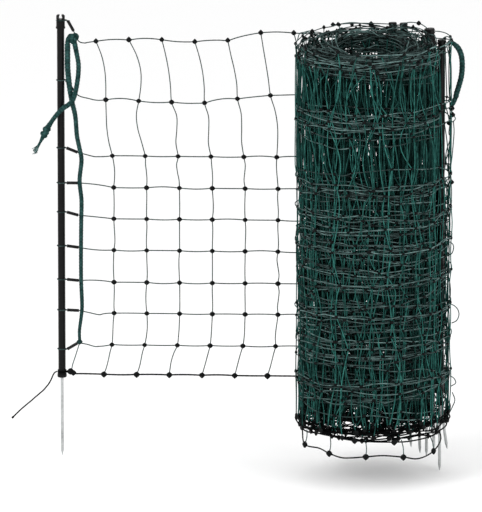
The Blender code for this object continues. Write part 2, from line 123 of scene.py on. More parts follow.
# The edge rope's radius at these heights
EDGE_ROPE_R = ((0.118, 0.25, 0.80, 0.93, 1.04), (0.0046, 0.0058, 0.0066, 0.0082, 0.0082))
ROPE_KNOT = np.array((0.0390, -0.0160, 1.0594))
ROPE_KNOT_SIZE = (0.0040, 0.0062, 0.0042)
ROPE_INTO_KNOT = (
    (0.0214, -0.0135, 1.0360), (0.0225, -0.0140, 1.0520),
    (0.0290, -0.0150, 1.0640), (0.0390, -0.0155, 1.0660),
)
ROPE_TAIL = (
    (0.0440, -0.0165, 1.0385), (0.0494, -0.0170, 1.0107), (0.0545, -0.0180, 0.9800),
    (0.0540, -0.0215, 0.9500), (0.0503, -0.0270, 0.9212), (0.0445, -0.0325, 0.8920),
    (0.0366, -0.0340, 0.8700), (0.0240, -0.0325, 0.8560), (0.0070, -0.0285, 0.8440),
    (-0.0070, -0.0260, 0.8300), (-0.0205, -0.0240, 0.8130), (-0.0320, -0.0230, 0.7960),
    (-0.0421, -0.0225, 0.7800), (-0.0506, -0.0220, 0.7640), (-0.0580, -0.0220, 0.7480),
    (-0.0668, -0.0220, 0.7310), (-0.0769, -0.0220, 0.7110),
)
ROPE_OUT_OF_KNOT = (
    (0.0390, -0.0160, 1.0600), (0.0425, -0.0165, 1.0480),
    ROPE_TAIL[0], (0.0446, -0.0165, 1.0340),
)
# The free tail's radius at these shares of its length
TAIL_SHARE = (0.0, 0.10, 0.55, 0.72, 0.80, 0.86, 0.92, 1.0)
TAIL_RADIUS = (0.0075, 0.0068, 0.0072, 0.0064, 0.0090, 0.0070, 0.0038, 0.0040)
STOPPER_SHARE = 0.82
STOPPER_HALF_LENGTH = 0.0115
STOPPER_WRAP_R = 0.0048
STOPPER_ROPE_R = 0.0074
FIBRES = 60
FIBRE_R = 0.0008
BOTTOM_TAIL = (
    (-0.0150, 0.0000, 0.0178), (-0.0198, 0.0000, 0.0160), (-0.0250, -0.0010, 0.0112),
    (-0.0284, -0.0020, 0.0050), (-0.0312, -0.0030, -0.0016), (-0.0354, -0.0040, -0.0106),
    (-0.0412, -0.0050, -0.0205), (-0.0485, -0.0060, -0.0295), (-0.0567, -0.0070, -0.0391),
    (-0.0680, -0.0080, -0.0490), (-0.0805, -0.0090, -0.0595), (-0.0936, -0.0100, -0.0711),
    (-0.1086, -0.0110, -0.0835), (-0.1238, -0.0120, -0.0965), (-0.1391, -0.0130, -0.1109),
    (-0.1543, -0.0140, -0.1261),
)
BOTTOM_TAIL_DIAMETER = 0.0042
SEALED_TIP_R = (0.0030, 0.0034, 0.0028)
END_LOOP = (
    (1.2015, -0.2185, 1.0690), (1.2060, -0.2190, 1.0640), (1.2110, -0.2190, 1.0560),
    (1.2155, -0.2195, 1.0450), (1.2185, -0.2200, 1.0310), (1.2197, -0.2200, 1.0150),
    (1.2195, -0.2200, 0.9980), (1.2180, -0.2200, 0.9810), (1.2150, -0.2195, 0.9650),
    (1.2110, -0.2190, 0.9500), (1.2070, -0.2190, 0.9360), (1.2035, -0.2185, 0.9240),
    (1.2010, -0.2185, 0.9120),
)
END_LOOP_DIAMETER = 0.0160
UPPER_TIE = (
    (1.1780, -0.2320, 1.0830), (1.1860, -0.2320, 1.0835),
    (1.1950, -0.2260, 1.0760), (1.2025, -0.2190, 1.0680),
)
UPPER_TIE_R = (0.0046, 0.0078)
LOWER_TIE = (
    (1.2010, -0.2190, 0.9130), (1.1970, -0.2200, 0.9030),
    (1.1920, -0.2210, 0.8930), (1.1870, -0.2210, 0.8860),
)
LOWER_TIE_R = 0.0070

# The open panel: how uneven each row's cord hangs between its knots
ROW_SLACK = (0.0035, 0.0035, *(0.0016,) * 7, 0.0022)
SLEEVE_LENGTH = 0.036
CLAMP_LENGTH = 0.020
# Where a sleeve starts: how far from the post's axis and how far under its ring
SLEEVE_START = (0.0170, 0.0010)
FIRST_SLEEVE_START = (0.0222, 0.0015)
BETWEEN_KNOTS = (0.25, 0.50, 0.75)
KNOT_HALF = 0.0088
BOTTOM_KNOT_HALF = 0.0102
# A knot's tail, as a share of its height, up or down
PANEL_KNOT_TAIL = {0: 0.6, BOTTOM_ROW: -0.4}
ROLL_KNOT_TAIL = {0: 0.6, BOTTOM_ROW: -0.5}
CLAMP_RING_AWAY = 0.0042
CLAMP_RING_R = 0.0120
EDGE_TWINE = ((0.0300, 0, 0.0250), (0.0330, 0, 0.0400), (0.0420, -0.003, 0.0680), (0.0545, -0.006, 0.1080))


def unit(vectors):
    return vectors / np.linalg.norm(vectors, axis=-1, keepdims=True)


def smooth_line(route, step):
    """Points about step apart on a Catmull-Rom curve through a route."""
    route = np.asarray(route, float)
    ends = np.vstack((2 * route[0] - route[1], route, 2 * route[-1] - route[-2]))
    t = np.linspace(0, 1, 20, endpoint=False)[:, None]
    fine = []
    for a, b, c, d in zip(ends, ends[1:], ends[2:], ends[3:]):
        bend = (c - a) * t + (2 * a - 5 * b + 4 * c - d) * t**2 + (3 * b - a - 3 * c + d) * t**3
        fine.append(b + bend / 2)
    fine = np.vstack((*fine, route[-1]))
    along = np.concatenate(([0], np.cumsum(np.linalg.norm(np.diff(fine, axis=0), axis=1))))
    places = np.linspace(0, along[-1], max(3, round(along[-1] / step) + 1))
    return np.stack([np.interp(places, along, fine[:, k]) for k in range(3)], -1)


class Shape:
    """Gathers tubes and knots into one mesh, with a tone for each."""

    def __init__(self):
        self.points = []
        self.quads = []
        self.triangles = []
        self.tones = []
        self.count = 0

    def add(self, points, quads, triangles, tone):
        self.quads.append(np.asarray(quads, int).reshape(-1, 4) + self.count)
        self.triangles.append(np.asarray(triangles, int).reshape(-1, 3) + self.count)
        self.points.append(points)
        self.tones.append(np.broadcast_to(tone, len(points)))
        self.count += len(points)

    def tube(self, line, radius, up=UP, sides=6, tone=1.0, twist=None):
        """A closed tube; twist gives (lumps, pitch, depth) of a rope's strands, with a painted highlight on
        their crests and painted shade in the grooves between them.
        """
        line = np.asarray(line, float)
        count = len(line)
        ahead = unit(np.gradient(line, axis=0))
        side = unit(np.cross(ahead, np.broadcast_to(up, line.shape)))
        rise = np.cross(ahead, side)
        radius = np.broadcast_to(radius, count)
        angles = np.arange(sides) * TAU / sides
        reach = np.repeat(radius[:, None], sides, 1)
        tones = np.full((count, sides), tone, float)
        if twist:
            lumps, pitch, depth = twist
            along = np.concatenate(([0], np.cumsum(np.linalg.norm(np.diff(line, axis=0), axis=1))))
            turn = along[:, None] * TAU / pitch
            lump = np.cos(lumps * angles + turn) * np.cos(lumps * angles - turn)
            reach = reach * (1 + depth * lump)
            # Painted highlight on the strands' crests and painted shade in the grooves between them
            tones *= 1 + 0.55 * lump
        ring = side[:, None] * np.cos(angles)[:, None] + rise[:, None] * np.sin(angles)[:, None]
        points = (line[:, None] + ring * reach[..., None]).reshape(-1, 3)
        k = np.arange(sides)
        a = np.arange(count - 1)[:, None] * sides + k
        b = np.arange(count - 1)[:, None] * sides + (k + 1) % sides
        quads = np.stack([a, b, b + sides, a + sides], -1)
        first, last = len(points), len(points) + 1
        ends = len(points) - sides
        low = np.stack([np.full(sides, first), (k + 1) % sides, k], -1)
        high = np.stack([np.full(sides, last), ends + k, ends + (k + 1) % sides], -1)
        points = np.vstack((points, line[0], line[-1]))
        self.add(points, quads, np.vstack((low, high)), np.append(tones.ravel(), (tone, tone)))

    def knot(self, centre, across, forward, half, depth, tail=0.0, sides=8, rings=2, tone=1.0):
        """A flattened, rather square knot on its corner, with a tail that points up or down."""
        angles = np.arange(sides) * TAU / sides
        stretch = (np.abs(np.cos(angles)) ** 1.5 + np.abs(np.sin(angles)) ** 1.5) ** (-1 / 1.5)
        x = np.cos(angles) * stretch
        z = np.sin(angles) * stretch * 0.9
        z = z * (1 + abs(tail) * np.clip(z * math.copysign(1, tail), 0, 1) ** 6)
        bands = np.arange(1, rings + 1) * math.pi / (rings + 1)
        across = np.asarray(across, float)
        forward = np.asarray(forward, float)
        points = [centre + forward * depth]
        for band in bands:
            middle = centre + forward * depth * math.cos(band)
            reach = math.sin(band) * half
            points += [middle + (across * px + np.array(UP) * pz) * reach for px, pz in zip(x, z)]
        points.append(centre - forward * depth)
        k = np.arange(sides)
        after = (k + 1) % sides
        low = np.stack([np.zeros(sides, int), 1 + k, 1 + after], -1)
        base = 1 + (rings - 1) * sides
        high = np.stack([np.full(sides, len(points) - 1), base + after, base + k], -1)
        quads = [np.stack([1 + i * sides + k, 1 + (i + 1) * sides + k, 1 + (i + 1) * sides + after,
                           1 + i * sides + after], -1) for i in range(rings - 1)]
        self.add(np.array(points), np.concatenate(quads) if quads else [], np.vstack((low, high)), tone)

    def make(self, name, material, body, slot, *nodes):
        """The gathered mesh as a piece on a body, which may stand for CAD nodes."""
        mesh = bpy.data.meshes.new(name)
        faces = np.concatenate(self.quads).tolist() + np.concatenate(self.triangles).tolist()
        mesh.from_pydata(np.concatenate(self.points).tolist(), [], faces)
        tone = mesh.attributes.new("tone", "FLOAT", "POINT")
        tone.data.foreach_set("value", np.concatenate(self.tones).astype(np.float32))
        mesh.shade_smooth()
        mesh.materials.append(material)
        spread_faces(mesh)
        piece = bpy.data.objects.new(name, mesh)
        bpy.context.collection.objects.link(piece)
        if nodes:
            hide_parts(*nodes)
        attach(piece, body)
        return piece


def spread_faces(mesh):
    """Gives each face a square of its own in the picture that a bake fills."""
    layer = mesh.uv_layers.new(name="OFBake")
    count = len(mesh.polygons)
    across = math.ceil(math.sqrt(count))
    starts = np.empty(count, np.int32)
    totals = np.empty(count, np.int32)
    mesh.polygons.foreach_get("loop_start", starts)
    mesh.polygons.foreach_get("loop_total", totals)
    face = np.repeat(np.arange(count), totals)
    corner = np.arange(totals.sum()) - np.repeat(starts, totals)
    square = np.array(((0.15, 0.15), (0.85, 0.15), (0.85, 0.85), (0.15, 0.85)))
    places = (np.stack((face % across, face // across), -1) + square[corner]) / across
    layer.data.foreach_set("uv", places.astype(np.float32).ravel())


def surface(name, dark, light, roughness, grain, bump, gloss, metallic=0.0, tinted=False):
    """A material with noise in its colour, roughness and relief; a tinted one takes its meshes' tones too."""
    made = bpy.data.materials.new(name)
    made.use_nodes = True
    nodes, links = made.node_tree.nodes, made.node_tree.links
    shader = nodes["Principled BSDF"]
    shader.inputs["Metallic"].default_value = metallic
    shader.inputs["Specular IOR Level"].default_value = gloss
    place = nodes.new("ShaderNodeTexCoord")
    broad = nodes.new("ShaderNodeTexNoise")
    broad.inputs["Scale"].default_value = grain / 12
    broad.inputs["Detail"].default_value = 4
    fine = nodes.new("ShaderNodeTexNoise")
    fine.inputs["Scale"].default_value = grain
    fine.inputs["Detail"].default_value = 3
    for texture in (broad, fine):
        links.new(place.outputs["Object"], texture.inputs["Vector"])
    mixed = nodes.new("ShaderNodeMath")
    mixed.operation = "MULTIPLY_ADD"
    links.new(fine.outputs["Fac"], mixed.inputs[0])
    mixed.inputs[1].default_value = 0.5
    links.new(broad.outputs["Fac"], mixed.inputs[2])
    ramp = nodes.new("ShaderNodeValToRGB")
    ramp.color_ramp.elements[0].position = 0.50
    ramp.color_ramp.elements[0].color = (*dark, 1)
    ramp.color_ramp.elements[1].position = 1.0
    ramp.color_ramp.elements[1].color = (*light, 1)
    links.new(mixed.outputs["Value"], ramp.inputs["Fac"])
    colour = ramp.outputs["Color"]
    if tinted:
        tone = nodes.new("ShaderNodeAttribute")
        tone.attribute_name = "tone"
        scaled = nodes.new("ShaderNodeVectorMath")
        scaled.operation = "SCALE"
        links.new(colour, scaled.inputs[0])
        links.new(tone.outputs["Fac"], scaled.inputs["Scale"])
        colour = scaled.outputs["Vector"]
    links.new(colour, shader.inputs["Base Color"])
    rough = nodes.new("ShaderNodeMapRange")
    rough.inputs["To Min"].default_value = roughness - 0.1
    rough.inputs["To Max"].default_value = roughness + 0.1
    links.new(broad.outputs["Fac"], rough.inputs["Value"])
    links.new(rough.outputs["Result"], shader.inputs["Roughness"])
    relief = nodes.new("ShaderNodeBump")
    relief.inputs["Strength"].default_value = bump
    relief.inputs["Distance"].default_value = 0.0006
    links.new(fine.outputs["Fac"], relief.inputs["Height"])
    links.new(relief.outputs["Normal"], shader.inputs["Normal"])
    return made


PLASTIC = surface("moulded_plastic", (0.0008, 0.0008, 0.0009), (0.0032, 0.0032, 0.0036),
                  roughness=0.34, grain=900, bump=0.15, gloss=0.14)
STEEL = surface("galvanised_spike", (0.27, 0.28, 0.28), (0.56, 0.58, 0.58),
                roughness=0.40, grain=160, bump=0.1, metallic=0.45, gloss=0.4)
TWINE = surface("grey_green_twine", (0.008, 0.018, 0.0175), (0.105, 0.168, 0.161),
                roughness=0.7, grain=700, bump=0.5, gloss=0.06, tinted=True)
TEAL = surface("teal_twine", (0.0015, 0.018, 0.0165), (0.026, 0.118, 0.100),
               roughness=0.7, grain=700, bump=0.5, gloss=0.05, tinted=True)
BLACK_CORD = surface("black_cord", (0.0006, 0.0008, 0.0009), (0.0026, 0.0032, 0.0034),
                     roughness=0.7, grain=900, bump=0.4, gloss=0.03, tinted=True)
KNOT = surface("black_knot", (0.0008, 0.0012, 0.0013), (0.003, 0.004, 0.0042),
               roughness=0.5, grain=500, bump=0.4, gloss=0.08, tinted=True)
ROPE = surface("teal_rope", (0.0010, 0.010, 0.0095), (0.027, 0.076, 0.071),
               roughness=0.85, grain=900, bump=0.8, gloss=0.06, tinted=True)


def add_camera():
    """A long lens from the front, a little above level."""
    target = Vector((VIEW_X, VIEW_Y, VIEW_HEIGHT - VIEW_Y * math.tan(VIEW_ELEVATION)))
    back = Vector((0, -math.cos(VIEW_ELEVATION), math.sin(VIEW_ELEVATION)))
    data = bpy.data.cameras.new("camera")
    data.sensor_width = SENSOR_WIDTH
    data.lens = SENSOR_WIDTH * VIEW_DISTANCE / VIEW_WIDTH
    data.clip_start = 1.0
    data.clip_end = 400.0
    camera = bpy.data.objects.new("camera", data)
    camera.location = target + VIEW_DISTANCE * back
    camera.rotation_euler = (math.pi / 2 - VIEW_ELEVATION, 0, 0)
    bpy.context.collection.objects.link(camera)
    bpy.context.scene.camera = camera


def add_world():
    world = bpy.data.worlds.new("studio")
    world.use_nodes = True
    background = world.node_tree.nodes["Background"]
    background.inputs["Color"].default_value = (1, 1, 1, 1)
    background.inputs["Strength"].default_value = 1.0
    bpy.context.scene.world = world
    bpy.context.scene.view_settings.view_transform = "Standard"


def add_lamp(name, place, aim, power):
    data = bpy.data.lights.new(name, "AREA")
    data.energy = power
    data.size = LAMP_SIZE
    lamp = bpy.data.objects.new(name, data)
    lamp.location = place
    lamp.rotation_euler = (Vector(aim) - Vector(place)).to_track_quat("-Z", "Y").to_euler()
    bpy.context.collection.objects.link(lamp)


def add_floor():
    mesh = bpy.data.meshes.new("floor")
    corners = [(x * FLOOR_HALF, y * FLOOR_HALF, FLOOR_Z) for x, y in ((-1, -1), (1, -1), (1, 1), (-1, 1))]
    mesh.from_pydata(corners, [], [(0, 1, 2, 3)])
    pale = bpy.data.materials.new("pale_floor")
    pale.use_nodes = True
    shader = pale.node_tree.nodes["Principled BSDF"]
    shader.inputs["Base Color"].default_value = (0.97, 0.97, 0.97, 1)
    shader.inputs["Roughness"].default_value = 0.9
    mesh.materials.append(pale)
    floor = bpy.data.objects.new("floor", mesh)
    bpy.context.collection.objects.link(floor)


def add_rope_tail():
    """The edge rope's free tail, with its stopper knot and its frayed end."""
    line = smooth_line(ROPE_TAIL, ROPE_STEP)
    thickness = np.interp(np.linspace(0, 1, len(line)), TAIL_SHARE, TAIL_RADIUS)
    shape = Shape()
    shape.tube(line, thickness, up=BACK, sides=20, twist=BRAID)
    tail = shape.make("rope_free_tail", ROPE, "net_panel", "green_rope", "rope_tail")
    knotted = stopper_knot(line)
    frayed = frayed_end(line)


def stopper_knot(line):
    """Two wraps of the rope round itself."""
    middle = int(len(line) * STOPPER_SHARE)
    ahead = unit(line[middle + 3] - line[middle - 3])
    side = unit(np.cross(ahead, BACK))
    t = np.linspace(0, TAU, 120)[:, None]
    wound = line[middle] + ahead * np.cos(t / 2) * STOPPER_HALF_LENGTH
    wound = wound + (side * np.cos(2 * t) + np.array(BACK) * np.sin(2 * t)) * STOPPER_WRAP_R
    shape = Shape()
    shape.tube(wound, STOPPER_ROPE_R, up=ahead, sides=16, twist=TIGHT_BRAID)
    return shape.make("rope_stopper_knot", ROPE, "net_panel", "green_rope")


def frayed_end(line):
    """The loose fibres that spread from the rope's end."""
    ahead = unit(line[-1] - line[-8])
    shape = Shape()
    for _ in range(FIBRES):
        out = rng.normal(0, 0.30, 3)
        start = line[-14] + rng.normal(0, 0.0014, 3)
        middle = line[-5] + rng.normal(0, 0.0018, 3) + out * 0.004
        end = line[-1] + out * 0.013 + ahead * rng.uniform(-0.002, 0.006)
        fibre = smooth_line((start, middle, end), 0.004)
        shape.tube(fibre, FIBRE_R, up=BACK, sides=5, tone=rng.uniform(0.7, 2.0))
    return shape.make("rope_frayed_end", TWINE, "net_panel", "green_rope")


def add_bottom_tail():
    """The loose end of the bottom cord, with its sealed tip."""
    line = smooth_line(BOTTOM_TAIL, 0.003)
    thickness = np.full(len(line), BOTTOM_TAIL_DIAMETER / 2)
    thickness[-3:] = SEALED_TIP_R
    shape = Shape()
    shape.tube(line, thickness, up=BACK, sides=12, twist=TAIL_TWIST)
    loose = shape.make("bottom_cord_loose_end", BLACK_CORD, "net_panel", "bottom_cord", "bottom_cord_tail")


def add_side_loop():
    """The loop of rope at the roll's side, made fast to the net above and below."""
    line = smooth_line(END_LOOP, ROPE_STEP)
    shape = Shape()
    shape.tube(line, END_LOOP_DIAMETER / 2, up=BACK, sides=20, twist=BRAID)
    loop = shape.make("side_rope_loop", ROPE, "roll", "green_rope", "end_rope_loop")
    upper = smooth_line(UPPER_TIE, ROPE_STEP)
    ties = Shape()
    ties.tube(upper, np.linspace(*UPPER_TIE_R, len(upper)), up=BACK, sides=16, twist=BRAID)
    ties.tube(smooth_line(LOWER_TIE, ROPE_STEP), LOWER_TIE_R, up=BACK, sides=16, twist=BRAID)
    tied = ties.make("side_loop_ties", ROPE, "roll", "green_rope")


def add_edge_rope():
    """The taut rope beside the post, with the knot at its foot."""
    line = smooth_line(EDGE_ROPE, ROPE_STEP)
    shape = Shape()
    shape.tube(line, np.interp(line[:, 2], *EDGE_ROPE_R), up=BACK, sides=20, twist=BRAID)
    shape.knot(line[0] + (-0.0005, 0, 0), (1, 0, 0), BACK, 0.0095, 0.0070, sides=20, rings=7, tone=0.6)
    shape.make("braided_edge_rope", ROPE, "net_panel", "green_rope", "edge_rope")


def add_rope_knot():
    """The overhand knot at the rope's top: a trefoil, and the two lengths that go into it."""
    t = np.linspace(0, TAU, 160, endpoint=False)
    trefoil = np.stack((np.sin(t) + 2 * np.sin(2 * t), -np.sin(3 * t), np.cos(t) - 2 * np.cos(2 * t)), -1)
    trefoil = ROPE_KNOT + trefoil * ROPE_KNOT_SIZE
    shape = Shape()
    shape.tube(np.vstack((trefoil, trefoil[:3])), 0.0064, up=(0, 1, 0.2), sides=18, twist=SHALLOW_BRAID)
    shape.tube(smooth_line(ROPE_INTO_KNOT, ROPE_STEP), 0.0070, up=BACK, sides=18, twist=BRAID)
    shape.tube(smooth_line(ROPE_OUT_OF_KNOT, ROPE_STEP), 0.0071, up=BACK, sides=18, twist=BRAID)
    shape.make("rope_overhand_knot", ROPE, "net_panel", "green_rope", "rope_knot")


PANEL_ANGLE = math.atan2(ROLL_CENTRE[1], ROLL_CENTRE[0]) + math.asin(ROLL_R / math.hypot(*ROLL_CENTRE))
PANEL_LENGTH = math.sqrt(float(ROLL_CENTRE @ ROLL_CENTRE) - ROLL_R**2)
ALONG = np.array((math.cos(PANEL_ANGLE), math.sin(PANEL_ANGLE), 0.0))
BEHIND = np.array((-math.sin(PANEL_ANGLE), math.cos(PANEL_ANGLE), 0.0))
HINGE = ALONG * PANEL_LENGTH


def on_panel(along, height, behind=0.0):
    return ALONG * along + BEHIND * behind + np.array((0, 0, height))


def row_height(row, along):
    sag = {0: TOP_SAG, 1: SECOND_SAG}.get(row)
    return ROW_Z[row] + (float(np.interp(along, *sag)) if sag else 0.0)


def knot_place(row, column):
    along = FIRST_COLUMN + column * COLUMN_PITCH + KNOT_SHIFT[row]
    return on_panel(along, row_height(row, along))


def panel_row(row):
    """The whole way of a row's cord: out of its sleeve, round the post, back in and off along the net."""
    bottom = row == BOTTOM_ROW
    radius = BOTTOM_CORD_R if bottom else CORD_R
    ring = {0: NECK_R, BOTTOM_ROW: WAIST_R}.get(row, TUBE_R) + GAP + radius
    start, drop_at_start = FIRST_SLEEVE_START if row == 0 else SLEEVE_START
    drop = SLEEVE_DROP[row]
    length = CLAMP_LENGTH if bottom else SLEEVE_LENGTH
    near = (start, RING_Z[row] - drop_at_start)
    far = (near[0] + math.sqrt(length**2 - drop**2), near[1] - drop)
    middle = ((near[0] + far[0]) / 2, (near[1] + far[1]) / 2)
    apart = radius + GAP
    way = [on_panel(*middle, -apart), on_panel(*near, -apart)]
    for angle in np.radians(np.linspace(-52, -308, 20)):
        way.append(on_panel(ring * math.cos(angle), RING_Z[row], ring * math.sin(angle)))
    way += [on_panel(*near, apart), on_panel(*middle, apart), on_panel(*far)]
    way += [np.array(place) for place in ROW_STARTS.get(row, ())]
    for column in range(COLUMNS):
        before = way[-1]
        place = knot_place(row, column)
        belly = rng.normal(0, ROW_SLACK[row])
        side = rng.normal(0, 0.002)
        for t in BETWEEN_KNOTS:
            swell = math.sin(math.pi * t)
            way.append(before + (place - before) * t + np.array((0, side * swell, belly * swell)))
        way.append(place)
    way.append(on_panel((place @ ALONG + PANEL_LENGTH) / 2, row_height(row, PANEL_LENGTH)))
    way.append(on_panel(PANEL_LENGTH, row_height(row, PANEL_LENGTH)))
    return smooth_line(way, 0.004)


def add_panel_rows():
    """The panel's ten cords across, and all its knots."""
    knots = Shape()
    bottom_knots = Shape()
    for row in range(ROWS):
        bottom = row == BOTTOM_ROW
        cord = Shape()
        radius, material, slot = CORD_R, TWINE, "net_cord"
        if bottom:
            radius, material, slot = BOTTOM_CORD_R, BLACK_CORD, "bottom_cord"
        cord.tube(panel_row(row), radius, sides=8, twist=TWINE_TWIST, tone=0.5 if row else 0.35)
        cord.make(f"panel_row_{row + 1:02d}", material, "net_panel", slot, f"row_cord_{row + 1:02d}")
        gathered = bottom_knots if bottom else knots
        for column in range(COLUMNS):
            half = (BOTTOM_KNOT_HALF if bottom else KNOT_HALF) * rng.uniform(0.92, 1.06)
            gathered.knot(knot_place(row, column), ALONG, BEHIND, half, 0.0056,
                          PANEL_KNOT_TAIL.get(row, 0.0), sides=16, rings=5)
    knots.make("panel_knots", KNOT, "net_panel", "black_plastic")
    bottom_knots.make("bottom_row_knots", KNOT, "net_panel", "bottom_cord")


def add_panel_uprights():
    """The panel's eight twines from the top row to the bottom one, slack in their first two cells."""
    for column in range(COLUMNS):
        way = [knot_place(0, column)]
        for row in range(1, ROWS):
            before = way[-1]
            place = knot_place(row, column)
            bow = (TOP_BOW, SECOND_BOW)[row - 1][column] if row < 3 else rng.normal(0, 0.002)
            wave = SECOND_WAVE[column] if row == 2 else rng.normal(0, 0.001)
            for t in BETWEEN_KNOTS:
                aside = bow * math.sin(math.pi * t) + wave * math.sin(TAU * t)
                way.append(before + (place - before) * t + ALONG * aside + BEHIND * rng.normal(0, 0.001))
            way.append(place)
        upright = Shape()
        upright.tube(smooth_line(way, 0.006), UPRIGHT_R, up=BACK, sides=7, twist=TWINE_TWIST, tone=0.5)
        upright.make(f"panel_upright_{column + 1}", TWINE, "net_panel", "net_cord", f"upright_{column + 1}")


def add_bottom_clamp():
    """The lumps of the bottom cord's knot beside the post, and the two turns that it takes round it."""
    height = RING_Z[BOTTOM_ROW]
    clamp = Shape()
    clamp.knot(on_panel(0.0262, height), ALONG, BEHIND, 0.0118, 0.0080, sides=16, rings=5)
    clamp.knot(on_panel(0.0345, height - 0.004), ALONG, BEHIND, 0.0098, 0.0066, -0.3, sides=16, rings=5)
    turn = np.linspace(0, TAU, 33)[:, None]
    for away in (-CLAMP_RING_AWAY, CLAMP_RING_AWAY):
        ring = ALONG * np.cos(turn) * CLAMP_RING_R + BEHIND * np.sin(turn) * CLAMP_RING_R
        clamp.tube(ring + (0, 0, height + away), 0.0021, sides=8)
    clamp.make("bottom_cord_clamp", KNOT, "net_panel", "black_plastic", "foot_clamp")


def add_edge_twine():
    """The short slanted twine from the bottom cord's clamp to the edge rope."""
    slanted = Shape()
    slanted.tube(smooth_line(EDGE_TWINE, 0.004), UPRIGHT_R, up=BACK, sides=7, twist=TWINE_TWIST, tone=0.9)
    slanted.make("edge_twine", TWINE, "net_panel", "net_cord", "edge_upright")


# The roll: how far round it the net has gone, in turns, and what that makes of its radius
TURNS = 42.0
DETAILED_TURNS = 14.0
# How many turns pass outside the rolled posts above the third row and below it, and in how many
# turns the net then crosses to their inner side
UPPER_OUTSIDE = 2.4
LOWER_OUTSIDE = 7.4
POST_CROSSING = 0.55
# Where the one becomes the other, and over what height
WAIST_TOP = 0.72
WAIST_SLOPE = 0.08
# How far the outer turns stand out over the rolled posts, and how far apart they are
BULGE = 0.033
OUTER_PITCH = 0.0042
# The inner turns' radius after so many turns
INNER_TURNS = (3, 16, TURNS)
INNER_RADII = (0.2265, 0.198, 0.098)
# The inner turns are pressed in between these bearings, in degrees, where the rolled posts stand
DENT_FROM = -30.0
DENT_TO = 115.0
DENT_SLOPE = 44.0
DENT_DEPTH = 0.042
# The plainer inner turns: the spacing of their uprights, the thickness of their twine, and the painted shade
# that darkens their twine to stand in for the shade deep inside the roll
INNER_PITCH = 0.070
INNER_CORD_R = 0.0023
INNER_PAINTED_SHADE = 0.45
# How many cells of a row share a tone
BUNDLE = 4
# How much net is wound from one change of its height or slant to the next
WAVE_STEP = 0.70
SHEAR_HEIGHT = 0.5
FIRST_IN_ROLL = 0.02
START_ANGLE = math.atan2(HINGE[1] - ROLL_CENTRE[1], HINGE[0] - ROLL_CENTRE[0])
# Every row in the roll: its share of the heights' common wave, how far it has slid, the size of its
# own wave, how much its knots scatter up and down, and how much they scatter along the net
ROW_SPREAD = (0.75, 0.70, 0.90, 1.00, 1.00, 1.00, 1.00, 1.00, 1.00, 0.45)
ROW_SLIDE = (0.004, -0.005, -0.010, 0.000, 0.000, 0.000, -0.004, -0.012, -0.030, -0.062)
ROW_WAVE = (0.016, 0.022, 0.026, 0.026, 0.026, 0.026, 0.026, 0.026, 0.024, 0.010)
ROW_SCATTER = (0.004, 0.005, 0.005, 0.004, 0.004, 0.004, 0.004, 0.004, 0.004, 0.006)
ROW_LEAN = (0.022, 0.014, 0.012, 0.010, 0.010, 0.010, 0.010, 0.010, 0.012, 0.014)
# How far the rim rises from its middle to the back and drops to the front
TOP_TILT = 0.020
# Strands across the roll's mouth, how far from its axis they lie and how high
MOUTH_STRANDS = 110
MOUTH_REACH = (0.095, 0.215)
MOUTH_HEIGHT = (1.015, 1.095)
LOWEST_ROW = -0.105
HIGHEST_ROW = 1.118
# How far each row has dropped by the roll's left edge, a quarter turn in
OUTER_DROP = (0.010, -0.002, -0.009, -0.0095, -0.0115, -0.0144, -0.015, -0.018, -0.030, -0.085)

